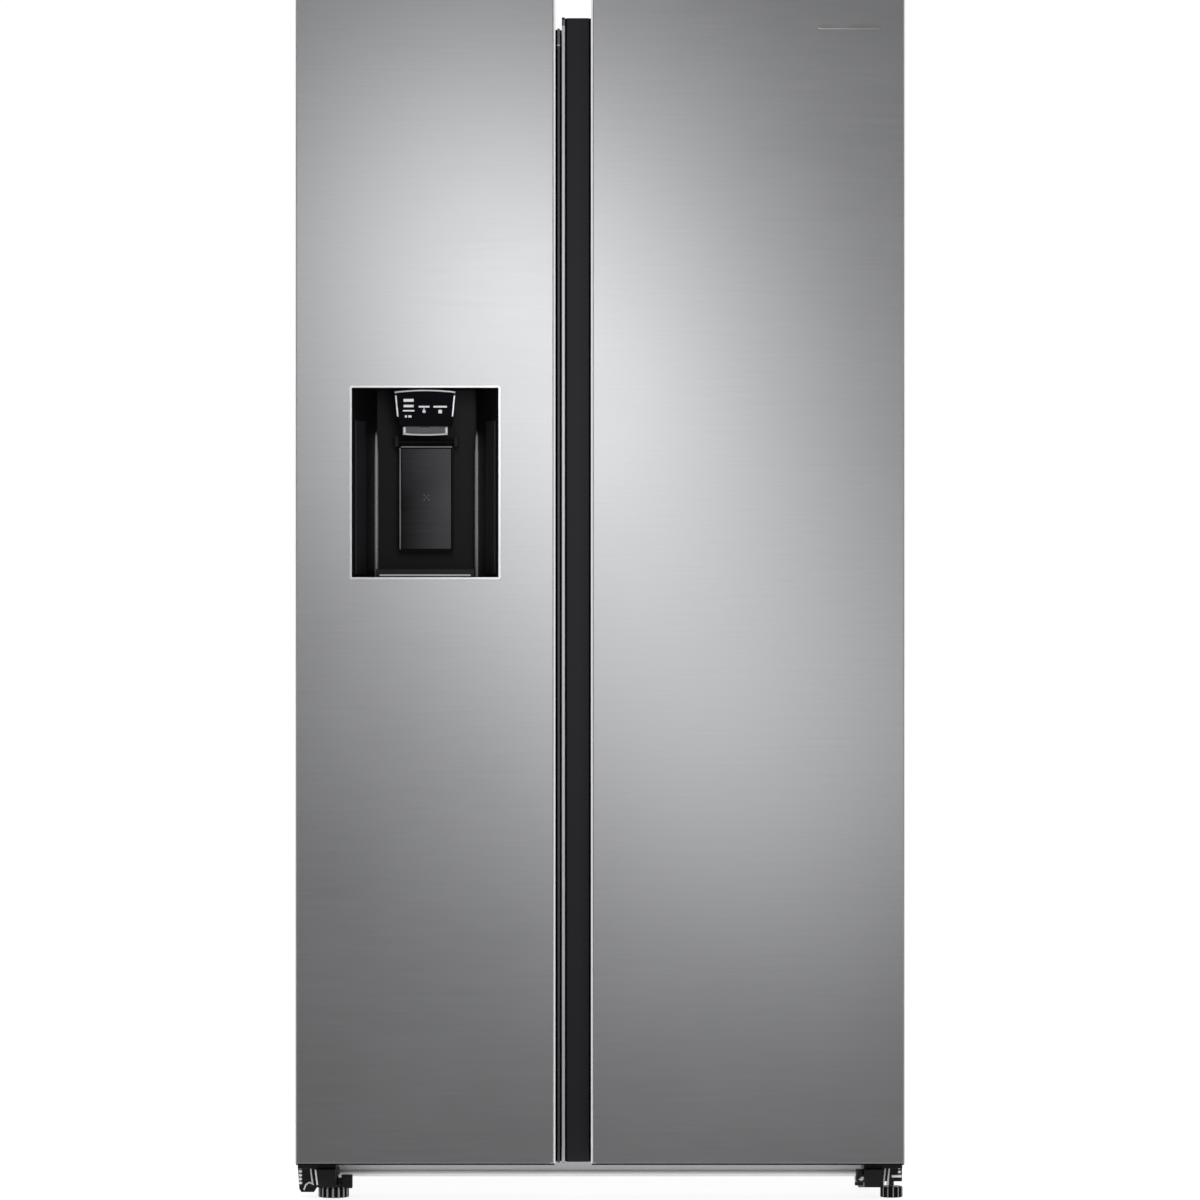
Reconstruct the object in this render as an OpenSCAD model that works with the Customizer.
// Side by side refrigerator: a narrow freezer door with an ice and water dispenser on the left,
// a wide fridge door on the right, recessed grips between them, and the cooling machine at the back.
// Millimetres, +Z up, front towards -Y. The origin is on the floor under the middle of the body.

/* [Overall] */
// Width over the doors
body_w = 908; // [880:1:1100]
// Height from the floor to the top of the doors
body_h = 1790; // [1700:1:2150]
// Depth from the door fronts to the back of the machine cover
body_d = 716; // [680:1:860]

/* [Doors] */
// Width of the freezer door
freezer_w = 394; // [360:1:440]
// Gap between the two doors
door_gap = 3; // [2:0.5:8]
// Thickness of a door without its seal
door_t = 94; // [78:1:120]
// Thickness of the full-height front slab of a door
front_t = 45; // [40:1:54]
// How far the rear slab of a door ends below the front slab
step_drop = 50; // [40:1:70]
// Height of the doors' bottom edges above the floor
door_lift = 54; // [50:1:70]
// Thickness of the steel sheet
skin_t = 1; // [0.8:0.1:1.5]
// Radius of a door's front outer edge
edge_r = 4.5; // [3:0.5:10]
// Depth of the steel's folded edges
lip_depth = 18; // [12:1:24]
// Thickness of the end caps
cap_t = 3; // [2:0.5:5]

/* [Grips] */
// Width of the fridge door's dark channel
channel_w = 43.6; // [36:0.1:60]
// Width of the freezer door's strip beside its steel
strip_w = 6.5; // [5:0.1:12]
// How far the finger space runs behind the steel edge
undercut = 15; // [10:1:22]
// Width of the rib at the fridge channel's edge
channel_rib_w = 4.5; // [3:0.1:8]
// Width of the rib at the freezer strip's edge
strip_rib_w = 3.5; // [2.5:0.1:4.5]
// How far the ribs stand behind the door fronts
rib_setback = 30; // [20:1:38]
// Height of the flat panel above the channel floor
panel_rise = 5; // [2:1:10]
// Groove beside the flat panel
groove_w = 2.6; // [1.5:0.1:5]
// Wall of the grip mouldings
plastic_t = 2; // [1.5:0.1:3]
// How far the channel ends below the door top
channel_drop = 26; // [20:1:36]
// How far the strip ends below the door top
strip_drop = 43; // [38:1:48]

/* [Seal and door liner] */
// Space between door and cabinet, filled by the seal
gasket_t = 12; // [10:1:16]
// Width of the seal
gasket_w = 14; // [10:1:18]
// Wall of the vacuum-formed liners
liner_t = 2; // [1.5:0.5:3]
// How far a door liner's rim reaches into the cabinet, from the seal's plane
dike_reach = 28; // [20:1:34]
// Width of a door liner's rim
dike_w = 22; // [16:1:28]
// Gap between a door liner's rim and the cabinet liner
dike_gap = 12; // [11:1:16]

/* [Hinges] */
// Hinge axis, in from the door's outer side
hinge_inset = 22; // [20:1:28]
// Hinge axis, behind the door's front
hinge_back = 62; // [60:1:72]
// Radius of a hinge pin
pin_r = 4; // [3:0.5:5]
// Thickness of a hinge plate
hinge_plate_t = 4; // [3:0.5:6]

/* [Cabinet] */
// Height of the cabinet's underside
cab_lift = 70; // [64:1:90]
// Insulated side and top wall
wall_t = 50; // [40:1:65]
// Insulated floor
floor_t = 60; // [45:1:80]
// Insulated wall between the compartments
mullion_w = 50; // [40:1:70]
// Insulation behind the compartments
back_foam_t = 38; // [25:1:60]
// Depth of the machine space
machine_d = 199; // [185:1:240]
// Height of the machine space above the cabinet's underside
machine_h = 250; // [240:1:300]
// Insulation round the machine space
machine_foam_t = 42; // [30:1:55]
// How far the machine cover stands out behind the cabinet
cover_bulge = 8; // [5:1:20]

/* [Dispenser] */
// Width of the dispenser's mouth
disp_w = 217.8; // [190:0.1:250]
// Height of the dispenser's mouth
disp_h = 281.6; // [260:0.1:360]
// Height of the mouth's lower edge above the floor
disp_z = 928; // [880:1:960]
// Width of the pocket behind the mouth
pocket_w = 150; // [130:1:170]
// Depth of the pocket from the door front
pocket_d = 95; // [88:1:104]
// Wall of the dispenser housing
housing_t = 2.5; // [2:0.5:3]
// Width of the bright rim
rim_w = 4; // [3:0.5:8]
// Width of the control unit's top
control_w = 90.6; // [80:0.1:110]
// Height of the control unit
control_h = 56; // [50:1:70]
// Width of the ice chute
chute_w = 66; // [56:1:70]
// Width of the lever
lever_w = 81; // [70:1:90]
// Height of the lever
lever_h = 158; // [130:1:170]

/* [Shelves and drawers] */
// Level of the lowest shelf above the compartment floor
shelf_base = 435; // [430:1:460]
// Distance between shelves
shelf_pitch = 238; // [200:1:260]
// Thickness of a shelf
shelf_t = 5; // [4:0.5:8]
// Gap from the door seal's plane to the shelves' fronts
shelf_setback = 122; // [118:1:140]
// Gap from the door seal's plane to the drawers' handles
drawer_setback = 140; // [136:1:160]
// Wall of drawers and bins
bin_t = 2.5; // [2:0.5:4]
// Reach of a deep door bin from the seal's plane
bin_reach = 102; // [80:1:105]

/* [Feet and rollers] */
// Radius of the left foot
foot_left_r = 23; // [18:0.5:26]
// Radius of the right foot
foot_right_r = 17; // [14:0.5:17.5]
// Height of a foot's disc
foot_h = 16; // [12:1:17]
// Radius of a rear roller
roller_r = 20; // [17:0.5:22]
// Width of a roller
roller_w = 20; // [14:1:24]

/* [Clearances] */
// Radial running clearance of pins and shafts
run_gap = 0.05; // [0.02:0.01:0.09]
// Gap between parts that slide past each other
slide_gap = 0.4; // [0.3:0.05:1]

/* [Hidden] */
$fn = 48;
steel_tone = "silver";
half_w = body_w / 2;
front_y = -body_d / 2;
rear_y = body_d / 2 - cover_bulge;
door_back_y = front_y + door_t;
cab_front_y = door_back_y + gasket_t;
step_y = front_y + front_t;
lip_y = front_y + lip_depth;
rear_top = body_h - step_drop;
cap_floor = door_lift + skin_t + cap_t;
fridge_edge = -half_w + freezer_w + door_gap;
freezer_edge = half_w - freezer_w;
fridge_steel = fridge_edge + channel_w;
freezer_steel = freezer_edge + strip_w;
channel_top = body_h - channel_drop;
strip_top = body_h - strip_drop;
split_x = fridge_edge - door_gap / 2;

side_play = 2;
cab_half = half_w - side_play;
cab_top = rear_top + 5;
in_x = cab_half - wall_t;
fridge_in = split_x + mullion_w / 2;
freezer_in = mullion_w / 2 - split_x;
in_floor = cab_lift + floor_t;
in_top = cab_top - wall_t;
in_back = rear_y - skin_t - back_foam_t - liner_t;
machine_y = rear_y - skin_t - machine_d;
machine_x = cab_half - 14;
machine_top = cab_lift + machine_h;
ledge_y = machine_y - machine_foam_t;
ledge_z = machine_top + machine_foam_t;
liner_front = cab_front_y + skin_t;

hinge_x = half_w - hinge_inset;
hinge_y = front_y + hinge_back;
boss_r = 12;
boss_h = 28;
pin_len = 26;

dike_y = cab_front_y + dike_reach;
recess_y = door_back_y - 20;
bulge_rim = 25;
bulge_y = front_y + pocket_d + bulge_rim;
bin_y = cab_front_y + bin_reach;
shallow_y = cab_front_y + 30;
bin_h = 105;
low_bin_h = 100;
low_bin_levels = [in_floor + 65, in_floor + 265];
bin_base = in_floor + 500;
bin_pitch = 235;

disp_x = (freezer_steel + half_w) / 2;
disp_top = disp_z + disp_h;
pocket_y = front_y + pocket_d;
shoulder_y = pocket_y - 25;
control_low = disp_top - control_h;
control_y = front_y + 2;
control_d = 54;
face_y = control_y + 6;
chute_low = control_low - 13;
chute_top = disp_top + 52;
chute_y = front_y + 16;
chute_d = 48;
chute_lean = 82;
chute_t = 2;
lever_y = pocket_y - 26;
lever_z = chute_low - 9;
lever_t = 4;
lever_pin_r = 3;
ear_w = 6;

bucket_z = chute_top + 2;
bucket_h = 205;
bucket_gap = 25;
top_bin_h = 110;
bucket_y = cab_front_y + 82;
auger_y = recess_y + 58;
auger_z = bucket_z + 44;
auger_r = 34;
shaft_r = 6;

shelf_y = cab_front_y + shelf_setback;
drawer_y = cab_front_y + drawer_setback;
shelf_count = 4;
shelf_levels = [for (i = [0:shelf_count - 1]) in_floor + shelf_base + i * shelf_pitch];
shelf_ledge = 8;
shelf_side = 3;
duct_y = in_back - 62;
duct_t = 3;
air_y = in_back - 22;
drawer_side = 12;
rail_h = 6;
flange_w = 8;
flange_t = 4;
lower_z = in_floor + 5;
lower_top = in_floor + 215;
upper_z = ledge_z + 10;
upper_top = in_floor + shelf_base - 15;
handle_d = 12;

foot_y = hinge_y - 2;
foot_left_x = -(half_w - 55);
foot_right_x = half_w - foot_right_r - 0.5;
stud_r = 4.5;
leg_x = half_w - 45.5;
leg_w = 28.5;
leg_bottom = foot_h + 1.6;
bracket_top = door_lift - 4;
bottom_plate_t = 6;
cheek_w = 30;
base_bar_low = 27;
base_lip_r = 4;
bar_tab_w = 30;
roller_x = half_w - 52;
roller_z = roller_r;
front_roller_r = roller_r - 2;
rear_roller_y = rear_y - 45;
front_roller_y = cab_front_y + 62;
axle_r = 4;
fork_t = 4;

fan_x = -15;
fan_y = machine_y + 100;
fan_z = cab_lift + 118;
fan_r = 62;
fan_shaft_r = 3;
comp_x = 225;
comp_r = 60;
comp_y = machine_y + 98;
cool_x = (freezer_in + in_x) / 2;
cool_fan_z = in_floor + 1180;
cool_fan_y = duct_y + 34;
cool_fan_r = 52;
valve_x = -(cab_half - 45);
valve_z = cab_lift + 190;
valve_bore_r = 3.2;
valve_hole_r = 14;
gland_x = cab_half - 60;
gland_z = cab_lift + 60;
gland_r = 5;
gland_neck_r = 11.4;

// ---- Helpers. Doors and compartments are drawn as the right-hand one and mirrored for the left ----

module block(lo, hi) {
    translate(lo) cube(hi - lo);
}

module rod_x(at, r, l) {
    translate(at) rotate([0, 90, 0]) cylinder(r = r, h = l);
}

module rod_y(at, r, l) {
    translate(at) rotate([-90, 0, 0]) cylinder(r = r, h = l);
}

module rod_z(at, r, l) {
    translate(at) cylinder(r = r, h = l);
}

module left_hand() {
    mirror([1, 0, 0]) children();
}

module both_hands() {
    children();
    mirror([1, 0, 0]) children();
}

// A plate drawn from the front, between two depths
module plate_xz(y0, y1, points) {
    translate([0, y1, 0]) rotate([90, 0, 0]) linear_extrude(y1 - y0) polygon(points);
}

// A plate drawn from the side, between two widths
module plate_yz(x0, x1, points) {
    translate([x0, 0, 0]) rotate([90, 0, 90]) linear_extrude(x1 - x0) polygon(points);
}

// An upright frame of width w
module frame_xz(lo, hi, w) {
    difference() {
        block(lo, hi);
        block([lo.x + w, lo.y - 1, lo.z + w], [hi.x - w, hi.y + 1, hi.z - w]);
    }
}

// A box without a lid
module open_box(lo, hi, t) {
    difference() {
        block(lo, hi);
        block(lo + [t, t, t], [hi.x - t, hi.y - t, hi.z + 1]);
    }
}

// A pipe through the listed points, with a brazed swelling at each corner
module pipe(points, r) {
    for (i = [0:len(points) - 2]) {
        run = points[i + 1] - points[i];
        flat = norm([run.x, run.y]);
        translate(points[i]) rotate([0, atan2(flat, run.z), atan2(run.y, run.x)])
            cylinder(r = r, h = norm(run), $fn = 24);
        if (i < len(points) - 2) translate(points[i + 1]) sphere(r = r * 1.2, $fn = 24);
    }
}

// ---- Doors ----

// A slab seen from above, with its front outer corner rounded
module slab_plan(x0, x1, y0, y1, r) {
    difference() {
        translate([x0, y0]) square([x1 - x0, y1 - y0]);
        translate([x1 - r, y0 - 1]) square([r + 1, r + 1]);
    }
    translate([x1 - r, y0 + r]) circle(r);
}

module slab(x0, x1, y0, y1, z0, z1, r) {
    translate([0, 0, z0]) linear_extrude(z1 - z0) slab_plan(x0, x1, y0, y1, r);
}

// The steel pan: a front, three shallow folds and one deep fold on the hinge side
module door_skin(steel) {
    difference() {
        slab(steel, half_w, front_y, door_back_y - liner_t, door_lift, body_h, edge_r);
        slab(steel + skin_t, half_w - skin_t, front_y + skin_t, door_back_y,
            door_lift + skin_t, body_h - skin_t, edge_r - skin_t);
        block([steel - 1, lip_y, door_lift - 1], [half_w - skin_t, door_back_y, body_h + 1]);
        block([half_w - skin_t - 1, step_y, rear_top], [half_w + 1, door_back_y, body_h + 1]);
    }
}

// The space that a grip moulding and the fingers take out of a door
module grip_space(edge, steel, top) {
    block([edge - 1, front_y - 1, door_lift - 1], [steel + skin_t, step_y + plastic_t, top]);
    block([steel, lip_y, door_lift - 1], [steel + undercut + plastic_t, step_y + plastic_t, top]);
}

module grip_moulding(edge, steel, rib_w, top) {
    rib_y = front_y + rib_setback;
    behind = steel + undercut;
    back = step_y + plastic_t;
    translate([0, 0, door_lift]) linear_extrude(top - door_lift) polygon([
        [edge, rib_y], [edge + rib_w, rib_y], [edge + rib_w, step_y], [behind, step_y],
        [behind, lip_y + plastic_t], [steel + skin_t, lip_y + plastic_t],
        [steel + skin_t, lip_y], [behind + plastic_t, lip_y], [behind + plastic_t, back],
        [edge, back]]);
    block([edge, step_y, door_lift], [edge + plastic_t, door_back_y - liner_t, rear_top - cap_t]);
}

// The rim that stands into the compartment, and the recess inside it
module dike_block(inner, shrink, y0) {
    inset = dike_gap + shrink;
    block([inner + inset, y0, in_floor + inset], [in_x - inset, dike_y - shrink, in_top - inset]);
}

module recess_block(inner, grow, y1) {
    inset = dike_gap + dike_w - grow;
    block([inner + inset, recess_y - grow, in_floor + inset], [in_x - inset, y1, in_top - inset]);
}

module hinge_bosses(r, play) {
    rod_z([hinge_x, hinge_y, rear_top - boss_h - play], r, boss_h + 2 * play);
    rod_z([hinge_x, hinge_y, door_lift + skin_t - play], r, boss_h + 2 * play);
}

module door_liner(edge, inner) {
    difference() {
        union() {
            block([edge, door_back_y - liner_t, door_lift + skin_t], [half_w, door_back_y, rear_top]);
            dike_block(inner, 0, door_back_y - liner_t);
            recess_block(inner, liner_t, door_back_y);
        }
        difference() {
            dike_block(inner, liner_t, recess_y - 10);
            recess_block(inner, liner_t, dike_y + 1);
        }
        recess_block(inner, 0, dike_y + 1);
    }
}

module door_foam(edge, steel, inner, top) {
    difference() {
        union() {
            slab(edge + plastic_t, half_w - skin_t, front_y + skin_t, door_back_y - liner_t,
                cap_floor, rear_top - cap_t, edge_r - skin_t);
            slab(steel + skin_t, half_w - skin_t, front_y + skin_t, step_y - cap_t,
                rear_top - cap_t, body_h - skin_t - cap_t, edge_r - skin_t);
            dike_block(inner, liner_t, door_back_y - liner_t);
        }
        recess_block(inner, liner_t, dike_y + 1);
        grip_space(edge, steel, top);
        hinge_bosses(boss_r, 0);
    }
}

module door_caps(edge, steel, top) {
    x1 = half_w - skin_t;
    y1 = door_back_y - liner_t;
    difference() {
        union() {
            slab(steel + skin_t, x1, front_y + skin_t, step_y, body_h - skin_t - cap_t,
                body_h - skin_t, edge_r - skin_t);
            block([steel + skin_t, step_y - cap_t, rear_top - cap_t], [x1, step_y, body_h - skin_t]);
            block([edge, step_y - cap_t, rear_top - cap_t], [x1, y1, rear_top]);
            slab(edge + plastic_t, x1, front_y + skin_t, y1, door_lift + skin_t, cap_floor,
                edge_r - skin_t);
            hinge_bosses(boss_r, 0);
        }
        grip_space(edge, steel, top);
        hinge_bosses(pin_r + run_gap, 1);
    }
}

module gasket(edge) {
    frame_xz([edge + 4, door_back_y, cab_lift + 26],
        [half_w - hinge_inset - 2, cab_front_y - 0.3, cab_top - 25], gasket_w);
}

// One tray across the door liner's recess
module door_bin(inner, z, h, reach_y) {
    inset = dike_gap + dike_w + 2;
    lo = [inner + inset, recess_y, z];
    hi = [in_x - inset, reach_y, z + h];
    difference() {
        open_box(lo, hi, bin_t);
        // the wall against the door liner is lower than the front one
        block([lo.x - 1, lo.y - 1, z + h * 0.8], [hi.x + 1, lo.y + bin_t + 0.01, z + h + 1]);
    }
}

// ---- Dispenser, drawn about the middle of the freezer door's steel ----

function mouth_plan(g, y0) = [[-disp_w / 2 - g, y0], [-disp_w / 2 - g, front_y + 4],
    [-pocket_w / 2 - g, shoulder_y], [-pocket_w / 2 - g, pocket_y + g],
    [pocket_w / 2 + g, pocket_y + g], [pocket_w / 2 + g, shoulder_y],
    [disp_w / 2 + g, front_y + 4], [disp_w / 2 + g, y0]];

module mouth(g, y0) {
    translate([disp_x, 0, disp_z - g]) linear_extrude(disp_h + 2 * g) polygon(mouth_plan(g, y0));
}

function chute_side(g) = [[chute_y + g, chute_low - g], [chute_y + chute_d - g, chute_low - g],
    [chute_y + chute_d + chute_lean - g, chute_top + g], [chute_y + chute_lean + g, chute_top + g]];

module chute_space() {
    plate_yz(disp_x - chute_w / 2, disp_x + chute_w / 2, chute_side(0));
}

// The part of the door liner that bulges over the dispenser pocket
module bulge_block(shrink) {
    reach = pocket_w / 2 + bulge_rim - shrink;
    block([disp_x - reach, recess_y - liner_t - 1, disp_z - bulge_rim + shrink],
        [disp_x + reach, bulge_y - shrink, disp_top + bulge_rim - shrink]);
}

function control_front(g) = [[-control_w / 2 + g, disp_top - 3 - g], [control_w / 2 - g, disp_top - 3 - g],
    [control_w / 2 - 5 - g, control_low + 10], [control_w / 2 - 7 - g, control_low],
    [-control_w / 2 + 7 + g, control_low], [-control_w / 2 + 5 + g, control_low + 10]];

module freezer_door_skin() {
    color(steel_tone) left_hand() difference() {
        door_skin(freezer_steel);
        block([disp_x - disp_w / 2 - rim_w, front_y - 1, disp_z - rim_w],
            [disp_x + disp_w / 2 + rim_w, front_y + 5, disp_top + rim_w]);
    }
}

module freezer_door_foam() {
    color("khaki") left_hand() difference() {
        union() {
            door_foam(freezer_edge, freezer_steel, freezer_in, strip_top);
            bulge_block(liner_t);
        }
        mouth(housing_t, front_y);
        chute_space();
    }
}

module freezer_door_liner() {
    color("white") left_hand() difference() {
        union() {
            door_liner(freezer_edge, freezer_in);
            intersection() {
                bulge_block(0);
                block([0, recess_y - liner_t, 0], [half_w, bulge_y, body_h]);
            }
        }
        bulge_block(liner_t);
        chute_space();
    }
}

module freezer_door_caps() {
    color("dimgray") left_hand() door_caps(freezer_edge, freezer_steel, strip_top);
}

module freezer_grip_strip() {
    color([0.3, 0.3, 0.32]) left_hand()
        grip_moulding(freezer_edge, freezer_steel, strip_rib_w, strip_top);
}

module freezer_gasket() {
    color("gainsboro") left_hand() gasket(freezer_edge);
}

module dispenser_housing() {
    ear_z = lever_z - 8;
    color([0.12, 0.12, 0.13]) left_hand() difference() {
        union() {
            difference() {
                union() {
                    mouth(housing_t, front_y);
                    block([disp_x - disp_w / 2 - rim_w, front_y, disp_z - rim_w],
                        [disp_x + disp_w / 2 + rim_w, front_y + skin_t, disp_top + rim_w]);
                }
                mouth(0, front_y - 1);
            }
            for (side = [-1, 1])
                translate([disp_x + side * (lever_w / 2 + 1 + ear_w / 2) - ear_w / 2, 0, 0])
                    block([0, lever_y - 8, ear_z], [ear_w, pocket_y, ear_z + 16]);
        }
        chute_space();
        rod_x([disp_x - lever_w, lever_y, lever_z], lever_pin_r + run_gap, 2 * lever_w);
    }
}

module control_panel() {
    color([0.1, 0.1, 0.12]) left_hand() translate([disp_x, 0, 0]) difference() {
        plate_xz(control_y, control_y + control_d, control_front(0));
        plate_xz(face_y, control_y + control_d + 1, control_front(3));
        block([-chute_w / 2 - 1, face_y, control_low - 1],
            [chute_w / 2 + 1, control_y + control_d + 1, control_low + 12]);
    }
}

module ice_chute() {
    color([0.45, 0.45, 0.47]) left_hand() difference() {
        chute_space();
        plate_yz(disp_x - chute_w / 2 + chute_t, disp_x + chute_w / 2 - chute_t,
            [for (p = chute_side(0)) p + [p.x < chute_y + 1 || (p.y > chute_top - 1
                && p.x < chute_y + chute_lean + 1) ? chute_t : -chute_t, p.y > chute_top - 1 ? 1 : -1]]);
    }
}

module dispenser_lever() {
    color([0.2, 0.2, 0.22]) left_hand() union() {
        difference() {
            block([disp_x - lever_w / 2, lever_y - lever_t / 2, lever_z - lever_h],
                [disp_x + lever_w / 2, lever_y + lever_t / 2, lever_z]);
            block([disp_x - lever_w / 2 + 4, lever_y - lever_t / 2 - 1, lever_z - lever_h + 4],
                [disp_x + lever_w / 2 - 4, lever_y - lever_t / 2 + 1.2, lever_z - 6]);
        }
        rod_x([disp_x - lever_w / 2 - 1 - ear_w, lever_y, lever_z], lever_pin_r, lever_w + 2 + 2 * ear_w);
    }
}

module drip_tray() {
    x0 = disp_x - pocket_w / 2 + 2;
    x1 = disp_x + pocket_w / 2 - 2;
    y0 = front_y + 6;
    slots = 9;
    slot_pitch = (x1 - x0 - 12) / slots;
    color("gray") left_hand() difference() {
        block([x0, y0, disp_z], [x1, pocket_y - 2, disp_z + 12]);
        block([x0 + 3, y0 + 3, disp_z + 2], [x1 - 3, pocket_y - 5, disp_z + 9]);
        for (i = [0:slots - 1])
            block([x0 + 8 + i * slot_pitch, y0 + 10, disp_z + 8],
                [x0 + 8 + (i + 0.6) * slot_pitch, pocket_y - 10, disp_z + 13]);
    }
}

module ice_bucket() {
    inset = dike_gap + dike_w + 2;
    x0 = freezer_in + inset;
    x1 = in_x - inset;
    color([0.8, 0.85, 0.9]) left_hand() difference() {
        open_box([x0, recess_y, bucket_z], [x1, bucket_y, bucket_z + bucket_h], bin_t);
        block([disp_x - chute_w / 2 + chute_t, chute_y + chute_lean + chute_t, bucket_z - 1],
            [disp_x + chute_w / 2 - chute_t, chute_y + chute_lean + chute_d - chute_t, bucket_z + bin_t + 1]);
        rod_x([x0 - 1, auger_y, auger_z], shaft_r + run_gap, x1 - x0 + 2);
    }
}

module ice_auger() {
    inset = dike_gap + dike_w + 2;
    x0 = freezer_in + inset;
    x1 = in_x - inset;
    vanes = 6;
    pitch = (x1 - x0 - 60) / (vanes - 1);
    color("silver") left_hand() union() {
        rod_x([x0, auger_y, auger_z], shaft_r, x1 - x0);
        for (i = [0:vanes - 1])
            translate([x0 + 30 + i * pitch, auger_y, auger_z]) rotate([60 * i, 0, 0])
                rotate([0, 90, 22]) translate([0, 0, -1.5]) cylinder(r = auger_r - 4, h = 3);
    }
}

module freezer_door_bins() {
    color([0.8, 0.88, 0.92]) left_hand() {
        door_bin(freezer_in, bucket_z + bucket_h + bucket_gap, top_bin_h, bin_y);
        door_bin(freezer_in, disp_z - bulge_rim - 150, bin_h, bin_y);
        for (z = low_bin_levels) door_bin(freezer_in, z, low_bin_h, shallow_y);
    }
}

module fridge_door_skin() {
    color(steel_tone) door_skin(fridge_steel);
}

module fridge_door_foam() {
    color("khaki") door_foam(fridge_edge, fridge_steel, fridge_in, channel_top);
}

module fridge_door_liner() {
    color("white") door_liner(fridge_edge, fridge_in);
}

module fridge_door_caps() {
    color("dimgray") door_caps(fridge_edge, fridge_steel, channel_top);
}

module fridge_grip_channel() {
    color([0.2, 0.2, 0.22]) union() {
        grip_moulding(fridge_edge, fridge_steel, channel_rib_w, channel_top);
        block([fridge_edge + channel_rib_w + groove_w, step_y - panel_rise, door_lift],
            [fridge_steel - groove_w, step_y + plastic_t, channel_top]);
    }
}

module fridge_gasket() {
    color("gainsboro") gasket(fridge_edge);
}

module fridge_door_bins() {
    color([0.8, 0.88, 0.92]) {
        for (i = [0:3]) door_bin(fridge_in, bin_base + i * bin_pitch, bin_h, bin_y);
        for (z = low_bin_levels) door_bin(fridge_in, z, low_bin_h, shallow_y);
    }
}

// ---- Cabinet ----

module outer_shell() {
    color([0.42, 0.43, 0.45]) difference() {
        block([-cab_half, cab_front_y, cab_lift], [cab_half, rear_y, cab_top]);
        block([-cab_half + skin_t, liner_front, cab_lift - 1],
            [cab_half - skin_t, rear_y + 1, cab_top - skin_t]);
        block([-in_x, cab_front_y - 1, in_floor], [in_x, liner_front + 1, in_top]);
    }
}

module centre_mullion() {
    color([0.42, 0.43, 0.45])
        block([split_x - mullion_w / 2, cab_front_y, in_floor],
            [split_x + mullion_w / 2, liner_front, in_top]);
}

// A compartment seen from the side: the machine space cuts its lower back corner
function room_side(t, y0) = [[y0, in_floor - t], [ledge_y + t, in_floor - t],
    [ledge_y + t, ledge_z - t], [in_back + t, ledge_z - t], [in_back + t, in_top + t],
    [y0, in_top + t]];

module room(inner, t, y0) {
    plate_yz(inner - t, in_x + t, room_side(t, y0));
}

// A pair of ledges on the side walls
module ledges(inner, z, h, w, y0, y1) {
    for (x = [inner, in_x - w]) block([x, y0, z - h], [x + w, y1, z]);
}

module room_liner(inner, y1) {
    difference() {
        room(inner, liner_t, liner_front);
        room(inner, 0, liner_front - 1);
    }
    for (z = shelf_levels) ledges(inner, z, 8, shelf_ledge, shelf_y + 15, y1 - 4);
    ledges(inner, lower_top - flange_t - slide_gap, rail_h, shelf_ledge, drawer_y + 20, ledge_y - 6);
    ledges(inner, upper_top - flange_t - slide_gap, rail_h, shelf_ledge, drawer_y + 20, y1 - 10);
}

module fridge_liner() {
    color("white") room_liner(fridge_in, air_y);
}

module freezer_liner() {
    color("white") left_hand() room_liner(freezer_in, duct_y);
}

module cabinet_foam() {
    color("khaki") difference() {
        block([-cab_half + skin_t, liner_front, cab_lift],
            [cab_half - skin_t, rear_y - skin_t, cab_top - skin_t]);
        room(fridge_in, liner_t, liner_front - 1);
        left_hand() room(freezer_in, liner_t, liner_front - 1);
        block([-machine_x, machine_y - skin_t, cab_lift - 1],
            [machine_x, rear_y, machine_top + skin_t]);
    }
}

module rear_panel() {
    x1 = cab_half - skin_t;
    color("lightgray") union() {
        block([-x1, rear_y - skin_t, machine_top], [x1, rear_y, cab_top - skin_t]);
        block([-machine_x, machine_y - skin_t, machine_top], [machine_x, rear_y, machine_top + skin_t]);
        block([-machine_x, machine_y - skin_t, cab_lift], [machine_x, machine_y, machine_top + skin_t]);
        for (x = [-x1, machine_x])
            block([x, rear_y - skin_t, cab_lift], [x + x1 - machine_x, rear_y, machine_top + 1]);
    }
}

// Fork and axle that carry one roller
module roller_fork(y, r) {
    for (side = [-1, 1])
        translate([roller_x + side * (roller_w / 2 + 1 + fork_t / 2) - fork_t / 2, 0, 0])
            block([0, y - 14, roller_z - 8], [fork_t, y + 14, cab_lift - 1]);
    rod_x([roller_x - roller_w / 2 - 1 - fork_t, y, roller_z], axle_r, roller_w + 2 + 2 * fork_t);
    block([roller_x - roller_w / 2 - 1, y - 14, roller_z + r + 3],
        [roller_x + roller_w / 2 + 1, y + 14, roller_z + r + 6]);
}

module base_frame() {
    rail_x = cab_half - 18;
    color("gray") union() {
        block([-cab_half + skin_t, liner_front, cab_lift - 2],
            [cab_half - skin_t, rear_y - skin_t, cab_lift]);
        both_hands() {
            block([rail_x, cab_front_y + 10, cab_lift - 32], [rail_x + 12, rear_y - 8, cab_lift - 1]);
            roller_fork(front_roller_y, front_roller_r);
            roller_fork(rear_roller_y, roller_r);
        }
        for (y = [cab_front_y + 20, machine_y, rear_y - 20])
            block([-rail_x, y - 6, cab_lift - 22], [rail_x, y + 6, cab_lift - 1]);
    }
}

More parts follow.
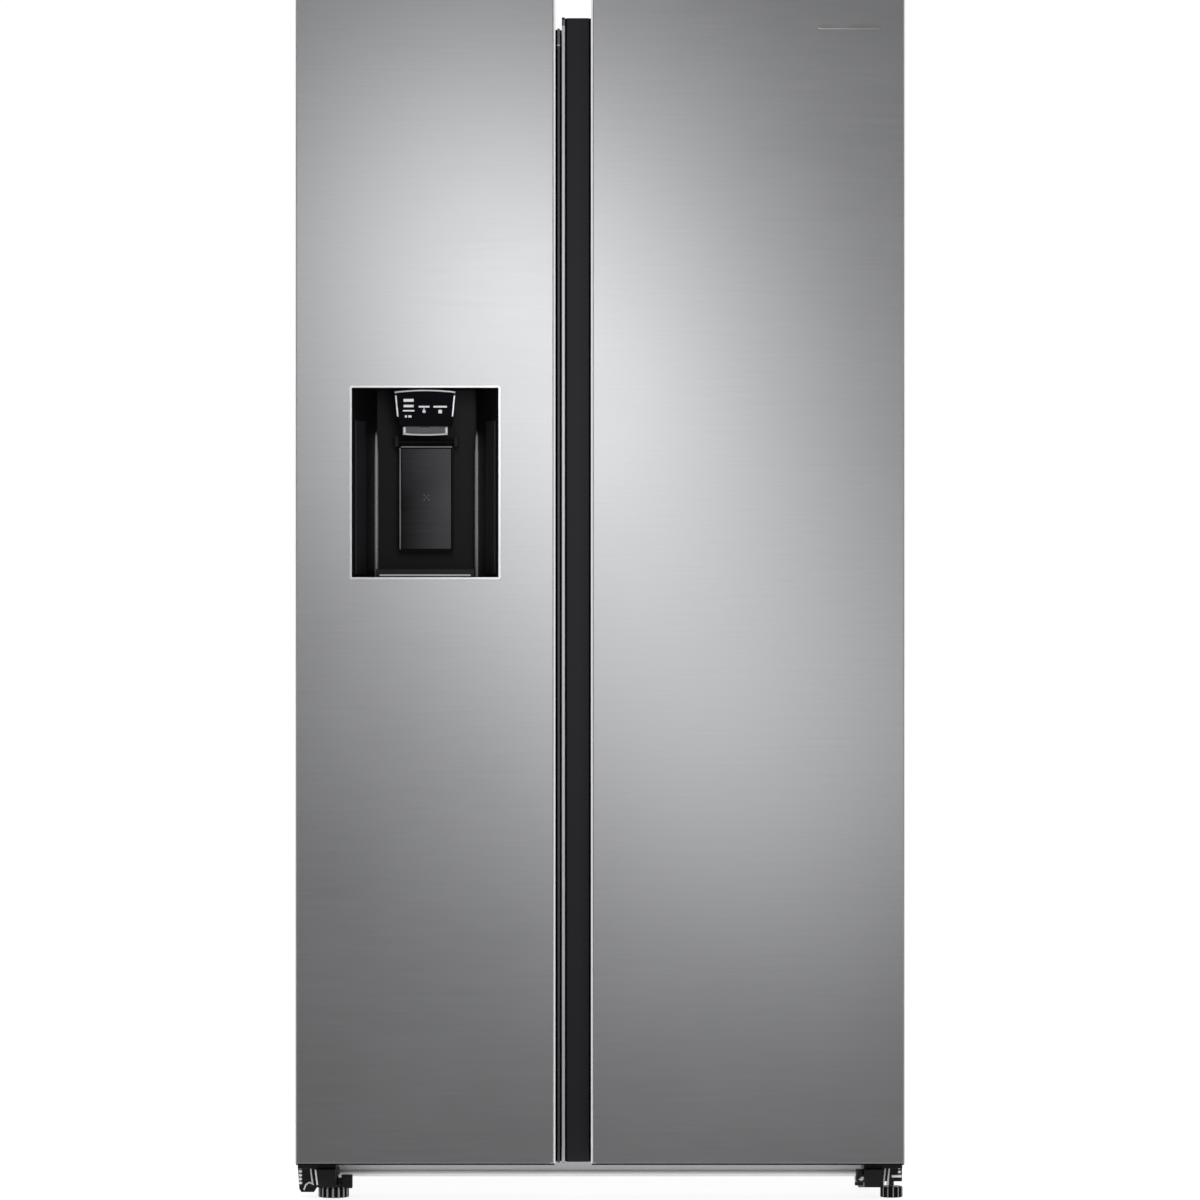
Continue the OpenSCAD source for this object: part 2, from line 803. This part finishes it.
// A rolled bar between the feet, seen below the doors
module front_base_bar() {
    bar_x = leg_x - leg_w / 2 - 0.25;
    bar_y = cab_front_y - base_lip_r;
    bar_top = cab_lift - 2;
    tab_x = bar_x - 40;
    color("silver") union() {
        block([-bar_x, bar_y, base_bar_low], [bar_x, cab_front_y, bar_top]);
        rod_x([-bar_x, bar_y, base_bar_low + 3], base_lip_r, 2 * bar_x);
        for (x = [-tab_x, 0, tab_x])
            block([x - bar_tab_w / 2, cab_front_y, bar_top - 18],
                [x + bar_tab_w / 2, cab_front_y + 14, bar_top]);
    }
}

module machine_cover() {
    x1 = cab_half - 3;
    z0 = cab_lift + 2;
    z1 = machine_top - 3;
    slot_rows = 7;
    slot_cols = 8;
    slot_w = 56;
    slot_h = 7;
    slot_pitch_x = slot_w + 28;
    slot_pitch_z = 22;
    first_slot_z = z0 + 52;
    wall = 2;
    flange = 14;
    inner_x = x1 - flange - wall;
    color("dimgray") difference() {
        union() {
            block([-x1, rear_y, z0], [x1, rear_y + wall, z1]);
            difference() {
                block([-x1 + flange, rear_y, z0 + flange - wall],
                    [x1 - flange, rear_y + cover_bulge, z1 - flange + wall]);
                block([-inner_x, rear_y - 1, z0 + flange],
                    [inner_x, rear_y + cover_bulge - wall, z1 - flange]);
            }
        }
        block([-inner_x, rear_y - 1, z0 + flange], [inner_x, rear_y + wall + 0.5, z1 - flange]);
        for (i = [0:slot_cols - 1]) for (k = [0:slot_rows - 1])
            translate([(i - (slot_cols - 1) / 2) * slot_pitch_x, 0, first_slot_z + k * slot_pitch_z])
                block([-slot_w / 2, rear_y - 1, 0], [slot_w / 2, rear_y + cover_bulge + 1, slot_h]);
        rod_y([valve_x, rear_y - 1, valve_z], valve_hole_r, cover_bulge + 2);
        rod_y([gland_x, rear_y - 1, gland_z], gland_neck_r + 0.1, cover_bulge + 2);
    }
}

// A bushing with a through hole for a mains lead
module cord_gland() {
    collar = 6;
    color("black") difference() {
        union() {
            rod_y([gland_x, rear_y - collar, gland_z], gland_neck_r, cover_bulge + collar);
            rod_y([gland_x, rear_y - collar, gland_z], gland_neck_r + 3.6, collar);
        }
        rod_y([gland_x, rear_y - collar - 1, gland_z], gland_r, cover_bulge + collar + 2);
    }
}

// A solenoid valve whose push-fit mouth shows through the machine cover
module water_inlet_valve() {
    color("white") difference() {
        union() {
            block([valve_x - 18, rear_y - 62, valve_z - 18], [valve_x + 18, rear_y - 24, valve_z + 18]);
            rod_z([valve_x, rear_y - 43, valve_z + 17], 13, 28);
            rod_y([valve_x, rear_y - 25, valve_z], 10, 29);
            block([-machine_x, rear_y - 55, valve_z - 14],
                [valve_x - 17, rear_y - 31, valve_z - 10]);
            rod_x([valve_x + 17, rear_y - 43, valve_z], 4, 14);
        }
        rod_y([valve_x, rear_y - 16, valve_z], valve_bore_r, 21);
    }
}

module compressor() {
    foot_z = cab_lift + 14;
    color([0.08, 0.08, 0.08]) union() {
        translate([comp_x, comp_y, foot_z]) rotate_extrude() polygon([[0, 0], [comp_r - 12, 0],
            [comp_r, 14], [comp_r, 70], [comp_r + 3, 72], [comp_r + 3, 78], [comp_r, 80],
            [comp_r, 120], [comp_r - 10, 142], [comp_r - 32, 155], [0, 158]]);
        block([comp_x - 75, comp_y - 45, foot_z - 2], [comp_x + 75, comp_y + 45, foot_z + 1]);
        for (dx = [-62, 62]) for (dy = [-34, 34])
            rod_z([comp_x + dx, comp_y + dy, cab_lift], 10, 15);
        block([comp_x + comp_r - 6, comp_y - 24, foot_z + 30],
            [comp_x + comp_r + 24, comp_y + 24, foot_z + 92]);
    }
}

module condenser() {
    x0 = -(cab_half - 110);
    x1 = fan_x - 60;
    rows = 4;
    row_pitch = 40;
    row_z = cab_lift + 60;
    bank_y = [machine_y + 60, machine_y + 140];
    tube_r = 4;
    fins = 14;
    fin_t = 1;
    fin_z = row_z - 16;
    fin_pitch = (x1 - x0 - 20) / (fins - 1);
    stand_t = 4;
    stand_y = machine_y + 100;
    color([0.15, 0.15, 0.15]) union() {
        for (y = bank_y) {
            for (i = [0:rows - 1]) rod_x([x0, y, row_z + i * row_pitch], tube_r, x1 - x0);
            for (i = [0:rows - 2]) {
                x = i % 2 == 0 ? x1 - tube_r : x0;
                z = row_z + i * row_pitch;
                block([x, y - 3, z], [x + tube_r, y + 3, z + row_pitch]);
            }
        }
        for (i = [0:fins - 1])
            translate([x0 + 10 + i * fin_pitch, 0, 0])
                block([0, bank_y[0] - 18, fin_z], [fin_t, bank_y[1] + 18, fin_z + 152]);
        for (x = [x0 + 30, x1 - 34]) {
            block([x, stand_y - 10, cab_lift], [x + stand_t, stand_y + 10, fin_z + 2]);
            block([x, stand_y - 46, fin_z - 2], [x + stand_t, stand_y + 46, row_z]);
        }
    }
}

module condenser_fan_shroud() {
    x0 = fan_x - 24;
    arm_z = fan_r + 10;
    color([0.2, 0.2, 0.22]) union() {
        difference() {
            block([x0 - 3, machine_y + 12, cab_lift], [x0, rear_y - 12, machine_top - 10]);
            rod_x([x0 - 4, fan_y, fan_z], fan_r + 6, 5);
        }
        for (s = [-1, 1])
            block([x0 - 1, fan_y - 5, fan_z + s * arm_z - 3], [fan_x + 46, fan_y + 5, fan_z + s * arm_z + 3]);
        block([fan_x + 42, fan_y - 5, fan_z - arm_z], [fan_x + 46, fan_y + 5, fan_z + arm_z]);
        rod_x([fan_x + 14, fan_y, fan_z], 22, 30);
        rod_x([fan_x - 16, fan_y, fan_z], fan_shaft_r, 32);
    }
}

// A hub with tilted blades, its axis along +Z
module fan_wheel(r, hub_r, depth, blades, bore_r) {
    difference() {
        union() {
            translate([0, 0, -depth / 2]) cylinder(r = hub_r, h = depth);
            for (i = [0:blades - 1])
                rotate([0, 0, i * 360 / blades]) translate([hub_r - 3, 0, 0]) rotate([32, 0, 0])
                    translate([0, -r * 0.26, -1]) cube([r - hub_r, r * 0.52, 2]);
        }
        translate([0, 0, -depth]) cylinder(r = bore_r, h = 2 * depth);
    }
}

module condenser_fan() {
    color([0.1, 0.1, 0.1]) translate([fan_x, fan_y, fan_z]) rotate([0, 90, 0])
        fan_wheel(fan_r, 18, 18, 5, fan_shaft_r + run_gap);
}

module drain_pan() {
    x0 = -(cab_half - 108);
    x1 = fan_x - 62;
    color("black") difference() {
        open_box([x0, machine_y + 30, cab_lift + 4], [x1, machine_y + 170, cab_lift + 34], 2);
        for (x = [x0 + 28, x1 - 38])
            block([x, machine_y + 86, cab_lift], [x + 12, machine_y + 114, cab_lift + 10]);
    }
    for (x = [x0 + 60, x1 - 80]) for (y = [machine_y + 40, machine_y + 156])
        color("black") block([x, y, cab_lift], [x + 14, y + 6, cab_lift + 5]);
}

module refrigerant_pipes() {
    z0 = cab_lift + 150;
    color([0.72, 0.45, 0.2]) union() {
        pipe([[comp_x - comp_r + 6, comp_y - 20, z0 - 60], [comp_x - comp_r - 22, comp_y - 20, z0 - 60],
            [comp_x - comp_r - 22, machine_y + 24, z0 + 60], [fan_x - 40, machine_y + 6, z0 + 78],
            [fan_x - 76, machine_y + 60, z0 + 70], [fan_x - 76, machine_y + 60, z0 + 28]], 3);
        pipe([[comp_x, comp_y, z0 + 20], [comp_x, comp_y, z0 + 62],
            [comp_x + 60, machine_y + 30, z0 + 62], [comp_x + 60, machine_y + 2, z0 + 62]], 4);
    }
}

module evaporator() {
    x0 = freezer_in + 28;
    x1 = in_x - 28;
    rows = 6;
    row_pitch = 60;
    tube_r = 5;
    tube_y = in_back - 28;
    fins = 12;
    fin_t = 1;
    z0 = in_floor + 560;
    fin_pitch = (x1 - x0 - 20) / (fins - 1);
    color("silver") left_hand() union() {
        for (i = [0:rows - 1]) rod_x([x0, tube_y, z0 + i * row_pitch], tube_r, x1 - x0);
        for (i = [0:rows - 2]) {
            x = i % 2 == 0 ? x1 - tube_r : x0;
            z = z0 + i * row_pitch;
            block([x, tube_y - 4, z], [x + tube_r, tube_y + 4, z + row_pitch]);
        }
        for (i = [0:fins - 1])
            translate([x0 + 10 + i * fin_pitch, 0, 0])
                block([0, in_back - 50, z0 - 20], [fin_t, in_back - 4, z0 + rows * row_pitch - 40]);
        for (x = [x0 + 10, x1 - 14])
            block([x, in_back - 6, z0 + 100], [x + 4, in_back, z0 + 140]);
    }
}

module freezer_duct_cover() {
    x0 = freezer_in;
    x1 = in_x;
    vents = 5;
    vent_w = 24;
    vent_h = 60;
    vent_pitch = 40;
    vent_x = cool_x - 90;
    bar_x = cool_fan_r + 6;
    motor_d = 14;
    z0 = ledge_z;
    color("whitesmoke") left_hand() union() {
        difference() {
            block([x0, duct_y, z0], [x1, duct_y + duct_t, in_top]);
            for (i = [0:vents - 1]) for (dz = [80, 210])
                translate([vent_x + i * vent_pitch, duct_y, z0 + dz])
                    block([0, -1, 0], [vent_w, duct_t + 1, vent_h]);
            rod_y([cool_x, duct_y - 1, cool_fan_z], cool_fan_r + 5, duct_t + 2);
        }
        // bars across the fan opening, and the motor that carries the fan
        for (dz = [-24, 0, 24])
            block([cool_x - bar_x, duct_y, cool_fan_z + dz - 2],
                [cool_x + bar_x, duct_y + duct_t, cool_fan_z + dz + 2]);
        rod_y([cool_x, duct_y, cool_fan_z], 16, motor_d);
        rod_y([cool_x, duct_y + motor_d - 2, cool_fan_z], fan_shaft_r, 32);
    }
}

module evaporator_fan() {
    color("white") translate([-cool_x, cool_fan_y, cool_fan_z]) rotate([-90, 0, 0])
        fan_wheel(cool_fan_r, 15, 14, 5, fan_shaft_r + run_gap);
}

module fridge_duct_cover() {
    cx = (fridge_in + in_x) / 2;
    z0 = in_floor + shelf_base + 60;
    half_duct = 80;
    vents = 8;
    vent_w = 48;
    vent_h = 10;
    vent_pitch = (in_top - z0 - 60) / vents;
    color("whitesmoke") difference() {
        block([cx - half_duct, air_y, z0], [cx + half_duct, in_back, in_top]);
        block([cx - half_duct + duct_t, air_y + duct_t, z0 + duct_t],
            [cx + half_duct - duct_t, in_back + 1, in_top - duct_t]);
        for (i = [0:vents - 1]) for (s = [-1, 1])
            translate([cx + s * 42, air_y, z0 + 40 + i * vent_pitch])
                block([-vent_w / 2, -1, 0], [vent_w / 2, duct_t + 1, vent_h]);
    }
}

module glass_plates(inner, y1) {
    for (z = shelf_levels)
        block([inner + shelf_side, shelf_y + 10, z], [in_x - shelf_side, y1 - 4, z + shelf_t]);
}

module fridge_shelves() {
    color([0.7, 0.85, 0.85, 0.5]) glass_plates(fridge_in, air_y);
}

module freezer_shelves() {
    color([0.7, 0.85, 0.85, 0.5]) left_hand() glass_plates(freezer_in, duct_y);
}

module shelf_trim(inner) {
    for (z = shelf_levels)
        block([inner + shelf_side, shelf_y, z - 6], [in_x - shelf_side, shelf_y + 10, z + shelf_t + 2]);
}

module shelf_trims() {
    color("white") {
        shelf_trim(fridge_in);
        left_hand() shelf_trim(freezer_in);
    }
}

module lamp_cover(inner) {
    cx = (inner + in_x) / 2;
    block([cx - 70, shelf_y + 20, in_top - 14], [cx + 70, shelf_y + 110, in_top]);
}

module lamp_covers() {
    color("lightyellow") {
        lamp_cover(fridge_in);
        left_hand() lamp_cover(freezer_in);
    }
}

// A drawer that hangs by its top flanges on the liner's rails
module drawer(inner, z0, z1, y1) {
    x0 = inner + drawer_side;
    x1 = in_x - drawer_side;
    y0 = drawer_y + handle_d;
    open_box([x0, y0, z0], [x1, y1, z1], bin_t);
    for (x = [x0 - flange_w, x1 - bin_t]) block([x, y0, z1 - flange_t], [x + flange_w + bin_t, y1, z1]);
    block([x0, drawer_y, z1 - 34], [x1, y0 + 1, z1 - 30]);
    block([x0, drawer_y, z1 - 34], [x1, drawer_y + 3, z1 - 12]);
}

module upper_crisper() {
    color([0.75, 0.85, 0.88]) drawer(fridge_in, upper_z, upper_top, air_y - 12);
}

module lower_crisper() {
    color([0.75, 0.85, 0.88]) drawer(fridge_in, lower_z, lower_top, ledge_y - 8);
}

module upper_freezer_drawer() {
    color([0.75, 0.85, 0.88]) left_hand() drawer(freezer_in, upper_z, upper_top, duct_y - 6);
}

module lower_freezer_drawer() {
    color([0.75, 0.85, 0.88]) left_hand() drawer(freezer_in, lower_z, lower_top, ledge_y - 8);
}

// ---- Hinges, brackets, feet and rollers ----

module top_hinges() {
    z0 = cab_top;
    color("silver") both_hands() union() {
        translate([0, 0, z0]) linear_extrude(hinge_plate_t) {
            translate([hinge_x, hinge_y]) circle(10);
            polygon([[hinge_x - 10, hinge_y], [hinge_x + 2, hinge_y], [hinge_x + 2, cab_front_y + 8],
                [hinge_x + 12, cab_front_y + 20], [hinge_x + 12, cab_front_y + 96],
                [hinge_x - 58, cab_front_y + 96], [hinge_x - 58, cab_front_y + 20],
                [hinge_x - 28, cab_front_y + 8]]);
        }
        rod_z([hinge_x, hinge_y, rear_top - pin_len], pin_r, z0 - rear_top + pin_len + 1);
    }
}

module hinge_covers() {
    lo = [hinge_x - 64, cab_front_y + 8, cab_top];
    hi = [cab_half - 2, cab_front_y + 106, cab_top + 30];
    color("dimgray") both_hands() difference() {
        block(lo, hi);
        block([lo.x + 2.5, lo.y + 2.5, lo.z - 1], [hi.x - 2.5, hi.y - 2.5, hi.z - 2.5]);
        block([hinge_x - 38, lo.y - 1, lo.z - 1], [hinge_x + 6, lo.y + 4, lo.z + hinge_plate_t + 1]);
    }
}

module bottom_hinges() {
    z1 = bracket_top;
    z0 = z1 - bottom_plate_t;
    color([0.15, 0.15, 0.15]) both_hands() union() {
        block([leg_x - 14, front_y + 40, z0], [half_w - 2, cab_front_y, z1]);
        block([leg_x - 2, cab_front_y - 4, z0], [half_w - 3, cab_front_y, cab_lift + 22]);
        rod_z([hinge_x, hinge_y, z1 - 1], pin_r, door_lift + pin_len - z1);
        rod_z([hinge_x, hinge_y, z1 - 1], 9, door_lift - z1 + 0.5);
    }
}

// Black leg boxes, the outer cheeks and the threaded bosses for the feet
module leg_brackets() {
    z1 = bracket_top - bottom_plate_t;
    x0 = leg_x - leg_w / 2;
    x1 = leg_x + leg_w / 2;
    box_y = foot_y - 14;
    back_y = cab_front_y - 4;
    web_low = leg_bottom + 4;
    cheek = half_w - cheek_w;
    cheek_y = foot_y - 12;
    cheek_back = foot_y + 26;
    toe_z = 8;
    hook_z = base_bar_low + 3;
    boss_low = leg_bottom + 0.4;
    color([0.08, 0.08, 0.09]) difference() {
        union() {
            both_hands() {
                block([x0, front_y + 24, leg_bottom], [x1, box_y, z1]);
                block([x0, box_y, z1 - 8], [x1, back_y, z1]);
                plate_xz(foot_y - 18, back_y, [[cheek - 4, z1], [cheek, z1],
                    [cheek - 1, web_low], [cheek - 6, web_low]]);
            }
            // left cheek and boss
            plate_xz(cheek_y, cheek_back, [[-half_w + side_play, z1], [-cheek, z1], [-cheek, toe_z + 6],
                [-cheek - 4, toe_z], [-half_w + 7, toe_z], [-half_w + 4, toe_z + 5]]);
            rod_z([foot_left_x, foot_y, leg_bottom], 9.5, z1 - leg_bottom);
            block([foot_left_x + 7, foot_y - 9, boss_low], [foot_left_x + 24, foot_y + 9, boss_low + 10]);
            // right cheek and boss
            block([cheek, cheek_y, 24], [half_w - side_play, cheek_back, z1]);
            rod_z([x0 - 6, front_y + 34, hook_z], 6.5, z1 - hook_z);
        }
        for (x = [foot_left_x, foot_right_x]) rod_z([x, foot_y, 0], stud_r + run_gap, z1 + 1);
    }
}

// A fluted disc on a screw
module foot(x, r) {
    flutes = 20;
    union() {
        difference() {
            rod_z([x, foot_y, 0], r, foot_h);
            for (i = [0:flutes - 1])
                translate([x, foot_y, 0]) rotate([0, 0, i * 360 / flutes]) rod_z([r, 0, 2], r * 0.07, foot_h);
        }
        rod_z([x, foot_y, foot_h - 1], stud_r, bracket_top - 8 - foot_h);
    }
}

module foot_left() {
    color([0.2, 0.2, 0.21]) foot(foot_left_x, foot_left_r);
}

module foot_right() {
    color([0.2, 0.2, 0.21]) foot(foot_right_x, foot_right_r);
}

module roller(x, y, r) {
    color([0.25, 0.25, 0.25]) difference() {
        rod_x([x - roller_w / 2, y, roller_z], r, roller_w);
        rod_x([x - roller_w, y, roller_z], axle_r + run_gap, 2 * roller_w);
        for (s = [-1, 1]) difference() {
            rod_x([x + s * (roller_w / 2 - 1) - 1, y, roller_z], r - 4, 2);
            rod_x([x + s * (roller_w / 2 - 1) - 2, y, roller_z], axle_r + 4, 4);
        }
    }
}

module front_roller_left() { roller(-roller_x, front_roller_y, front_roller_r); }
module front_roller_right() { roller(roller_x, front_roller_y, front_roller_r); }
module rear_roller_left() { roller(-roller_x, rear_roller_y, roller_r); }
module rear_roller_right() { roller(roller_x, rear_roller_y, roller_r); }

outer_shell();
rear_panel();
freezer_liner();
fridge_liner();
cabinet_foam();
centre_mullion();
base_frame();
front_base_bar();
machine_cover();
compressor();
condenser();
condenser_fan_shroud();
drain_pan();
refrigerant_pipes();
evaporator();
freezer_duct_cover();
fridge_duct_cover();
fridge_shelves();
shelf_trims();
freezer_shelves();
lamp_covers();
water_inlet_valve();
cord_gland();
top_hinges();
hinge_covers();
bottom_hinges();
leg_brackets();
condenser_fan();
evaporator_fan();
front_roller_left();
front_roller_right();
rear_roller_left();
rear_roller_right();
foot_left();
foot_right();
upper_crisper();
lower_crisper();
upper_freezer_drawer();
lower_freezer_drawer();
freezer_door_skin();
freezer_door_foam();
freezer_door_liner();
freezer_door_caps();
freezer_grip_strip();
freezer_gasket();
dispenser_housing();
control_panel();
ice_chute();
dispenser_lever();
drip_tray();
ice_bucket();
ice_auger();
freezer_door_bins();
fridge_door_skin();
fridge_door_foam();
fridge_door_liner();
fridge_door_caps();
fridge_grip_channel();
fridge_gasket();
fridge_door_bins();
